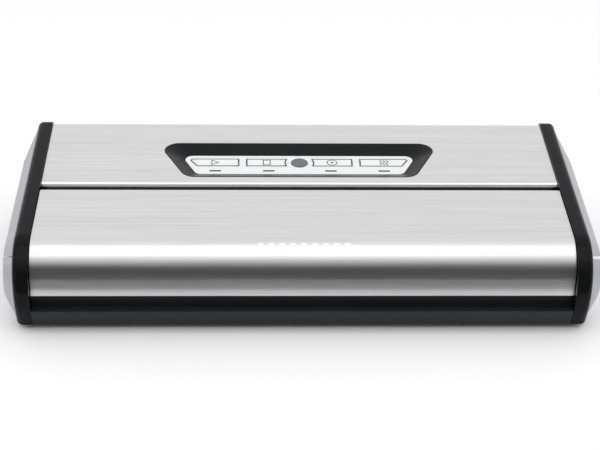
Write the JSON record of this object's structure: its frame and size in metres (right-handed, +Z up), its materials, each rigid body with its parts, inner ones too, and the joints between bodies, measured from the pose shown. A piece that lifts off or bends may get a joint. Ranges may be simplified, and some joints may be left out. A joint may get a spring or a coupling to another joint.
{
  "type": "vacuum sealer",
  "caption": "Countertop vacuum sealer for food bags: steel lid hinged over a seal bar and suction trough, sunken control panel, silver ends with release buttons.",
  "frame": {"origin": "centre of the bounding box at the underside of the rubber feet", "axes": "+X along the length to the right seen from the front, +Y to the back (the front faces -Y), +Z up"},
  "size_m": [0.385, 0.178, 0.0754],
  "materials": {
    "housing_black": "satin",
    "deck_black": "fine texture",
    "brushed_steel": "brushed along X",
    "cap_gloss_black": "gloss",
    "wing_silver": "satin silver",
    "acetal_white": "satin",
    "spring_steel": "bright wire",
    "bezel_black": "semi gloss",
    "overlay_silver": "printed film",
    "lens_grey": "translucent",
    "window_dark": "translucent",
    "board_green": "solder mask",
    "fastener_steel": "zinc plated",
    "switch_black": "moulded",
    "led_clear": "clear",
    "gasket_rubber": "soft foam rubber",
    "heater_aluminium": "extruded",
    "heater_ribbon": "nichrome",
    "tape_brown": "non-stick woven tape",
    "hose_silicone": "translucent",
    "pump_plastic": "moulded",
    "motor_steel": "zinc plated",
    "core_iron": "lacquered laminations",
    "winding_tape": "polyester tape",
    "component_black": "moulded",
    "gland_rubber": "matt",
    "foot_rubber": "matt",
    "pressure_silicone": "silicone",
    "key_silver": "printed film"
  },
  "bodies": {
    "base": {"lower_housing": "housing_black", "chamber_deck": "deck_black", "suction_trough": "deck_black", "rear_deck": "housing_black", "rear_panel": "brushed_steel", "end_cap_left": "cap_gloss_black", "end_cap_right": "cap_gloss_black", "wing_left": "wing_silver", "wing_right": "wing_silver", "latch_spring_left": "spring_steel", "latch_spring_right": "spring_steel", "control_bezel": "bezel_black", "control_overlay": "overlay_silver", "status_lens": "lens_grey", "indicator_windows": "window_dark", "control_board": "board_green", "board_screws": "fastener_steel", "key_switches": "switch_black", "indicator_leds": "led_clear", "lower_gasket": "gasket_rubber", "heater_bar": "heater_aluminium", "heater_ribbon": "heater_ribbon", "heater_tape": "tape_brown", "suction_nozzle": "acetal_white", "vacuum_hose": "hose_silicone", "pump_head": "pump_plastic", "pump_cover": "pump_plastic", "pump_diaphragm": "gasket_rubber", "pump_cradle": "gasket_rubber", "motor_can": "motor_steel", "transformer_core": "core_iron", "transformer_winding": "winding_tape", "power_board": "board_green", "power_components": "component_black", "lid_switch": "switch_black", "cord_gland": "gland_rubber", "rubber_feet": "foot_rubber", "housing_screws": "fastener_steel", "cap_screws": "fastener_steel", "hinge_pins": "fastener_steel"},
    "lid": {"lid_skin": "brushed_steel", "lid_frame": "housing_black", "lid_liner": "deck_black", "upper_gasket": "gasket_rubber", "pressure_bar": "pressure_silicone", "latch_hooks": "acetal_white", "lid_screws": "fastener_steel"},
    "left_release": {"release_button_left": "wing_silver", "latch_slide_left": "acetal_white"},
    "right_release": {"release_button_right": "wing_silver", "latch_slide_right": "acetal_white"},
    "start": {"start_key": "key_silver"},
    "stop": {"stop_key": "key_silver"},
    "mode": {"mode_key": "key_silver"},
    "seal": {"seal_key": "key_silver"},
    "rotor": {"motor_shaft": "fastener_steel"}
  },
  "joints": [
    {"name": "lid_hinge", "type": "hinge", "parent": "base", "child": "lid", "pos_m": [0, -0.0095, 0.06075], "axis": [-1, 0, 0], "range_deg": [0, 80]},
    {"name": "left_release_slide", "type": "slide", "parent": "base", "child": "left_release", "axis": [1, 0, 0], "range_m": [0, 0.0022], "stiffness_N_per_m": 1200, "springref_m": -0.0025, "deforming": ["latch_spring_left"]},
    {"name": "right_release_slide", "type": "slide", "parent": "base", "child": "right_release", "axis": [-1, 0, 0], "range_m": [0, 0.0022], "stiffness_N_per_m": 1200, "springref_m": -0.0025, "deforming": ["latch_spring_right"]},
    {"name": "start_key_press", "type": "slide", "parent": "base", "child": "start", "axis": [0, 0.0924, -0.9957], "range_m": [0, 0.0006], "stiffness_N_per_m": 400, "springref_m": -0.001},
    {"name": "stop_key_press", "type": "slide", "parent": "base", "child": "stop", "axis": [0, 0.0924, -0.9957], "range_m": [0, 0.0006], "stiffness_N_per_m": 400, "springref_m": -0.001},
    {"name": "mode_key_press", "type": "slide", "parent": "base", "child": "mode", "axis": [0, 0.0924, -0.9957], "range_m": [0, 0.0006], "stiffness_N_per_m": 400, "springref_m": -0.001},
    {"name": "seal_key_press", "type": "slide", "parent": "base", "child": "seal", "axis": [0, 0.0924, -0.9957], "range_m": [0, 0.0006], "stiffness_N_per_m": 400, "springref_m": -0.001},
    {"name": "motor_spin", "type": "hinge", "parent": "base", "child": "rotor", "pos_m": [0.114, 0.059, 0.025], "axis": [1, 0, 0], "continuous": true}
  ]
}
